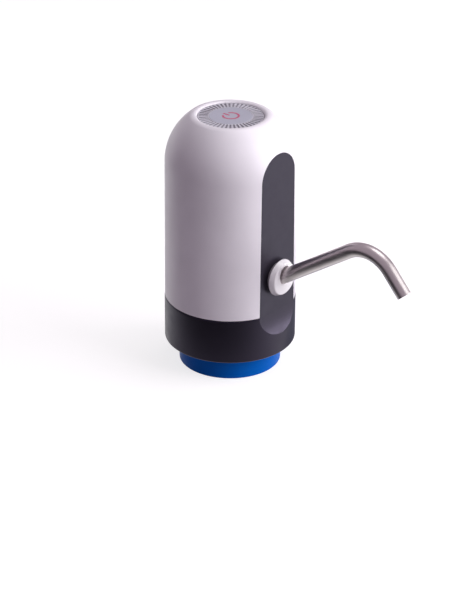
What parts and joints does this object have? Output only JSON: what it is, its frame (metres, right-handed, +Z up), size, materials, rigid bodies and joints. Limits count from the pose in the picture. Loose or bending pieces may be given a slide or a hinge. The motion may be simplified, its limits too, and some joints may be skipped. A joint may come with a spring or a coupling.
{
  "type": "electric water jug pump",
  "caption": "Domed battery pump that sits on a water jug's neck, with a press button on top, a flat black front panel and a swivelling bent steel spout.",
  "frame": {"origin": "centre of the neck collar's lower rim", "axes": "+Z up along the body and out of the jug's neck, -Y towards the spout, +X to the right seen from the front"},
  "size_m": [0.074, 0.159, 0.1485],
  "materials": {
    "white_abs": "glossy white ABS",
    "black_abs": "black ABS with a soft sheen",
    "blue_pp": "blue polypropylene",
    "natural_abs": "natural ABS",
    "white_pp": "white polypropylene",
    "white_silicone": "white silicone",
    "silicone_hose": "milky silicone hose",
    "white_gloss": "high gloss white",
    "black_rubber": "black rubber",
    "stainless": "polished stainless tube",
    "black_pom": "black acetal",
    "natural_pom": "natural acetal",
    "red_rubber": "reddish rubber valve",
    "steel_pin": "ground steel",
    "zinc_steel": "zinc plated steel",
    "ferrite": "dark ferrite",
    "bronze": "bronze",
    "core_steel": "laminated steel",
    "copper": "copper",
    "cell_sleeve": "shrink sleeve",
    "nickel": "nickel plate",
    "lead_sleeve": "wire insulation",
    "board_green": "solder mask",
    "component_black": "moulded component bodies",
    "red_lens": "coloured lens",
    "grey_abs": "grey ABS",
    "silver_grey": "silver-grey paint, satin",
    "disc_grey": "blue-grey satin",
    "icon_red": "printed red",
    "screw_steel": "zinc plated screw"
  },
  "bodies": {
    "housing": {"upper_shell": "white_abs", "lower_housing": "black_abs", "neck_collar": "blue_pp", "chassis": "natural_abs", "pump_clamp": "natural_abs", "inlet_fitting": "white_pp", "inlet_gasket": "white_silicone", "inlet_hose": "silicone_hose", "outlet_hose": "silicone_hose", "spout_grommet": "white_gloss", "spout_port": "black_abs", "spout_seals": "black_rubber", "pump_cover": "black_pom", "valve_plate": "natural_pom", "check_valves": "red_rubber", "diaphragm": "black_rubber", "pump_housing": "black_pom", "motor_can": "zinc_steel", "motor_magnets": "ferrite", "motor_end_cap": "natural_pom", "motor_bushes": "bronze", "motor_brushes": "bronze", "battery_cell": "cell_sleeve", "battery_tabs": "nickel", "battery_leads": "lead_sleeve", "motor_leads": "lead_sleeve", "circuit_board": "board_green", "board_components": "component_black", "indicator_leds": "red_lens", "tact_switch": "component_black", "usb_socket": "nickel", "case_screws": "screw_steel", "chassis_screws": "screw_steel", "clamp_screws": "screw_steel", "port_screws": "screw_steel", "pump_screws": "screw_steel", "motor_screws": "screw_steel", "board_screws": "screw_steel"},
    "button": {"button_cap": "grey_abs", "button_ring": "silver_grey", "button_disc": "disc_grey", "power_icon": "icon_red", "switch_plunger": "component_black"},
    "spout": {"spout_tube": "stainless"},
    "rotor": {"motor_shaft": "steel_pin", "armature_core": "core_steel", "armature_windings": "copper", "commutator": "copper", "cam": "natural_pom"},
    "wobbler": {"wobble_plate": "natural_pom", "wobble_pin": "steel_pin"}
  },
  "joints": [
    {"name": "button_press", "type": "slide", "parent": "housing", "child": "button", "axis": [0, 0, -1], "range_m": [0, 0.0005], "stiffness_N_per_m": 1000, "springref_m": -0.001},
    {"name": "spout_swivel", "type": "hinge", "parent": "housing", "child": "spout", "pos_m": [0, -0.036, 0.06055], "axis": [0, -0.8339, 0.5519], "continuous": true},
    {"name": "motor_spin", "type": "hinge", "parent": "housing", "child": "rotor", "pos_m": [0.0115, 0.008, 0.0735], "axis": [0, 0, 1], "continuous": true},
    {"name": "wobble_roll", "type": "hinge", "parent": "rotor", "child": "wobbler", "pos_m": [0.0115, 0.008, 0.0735], "axis": [0.1219, 0, 0.9925], "continuous": true}
  ],
  "couplings": [
    {"joint": "wobble_roll", "follows": "motor_spin", "ratio": -1}
  ]
}
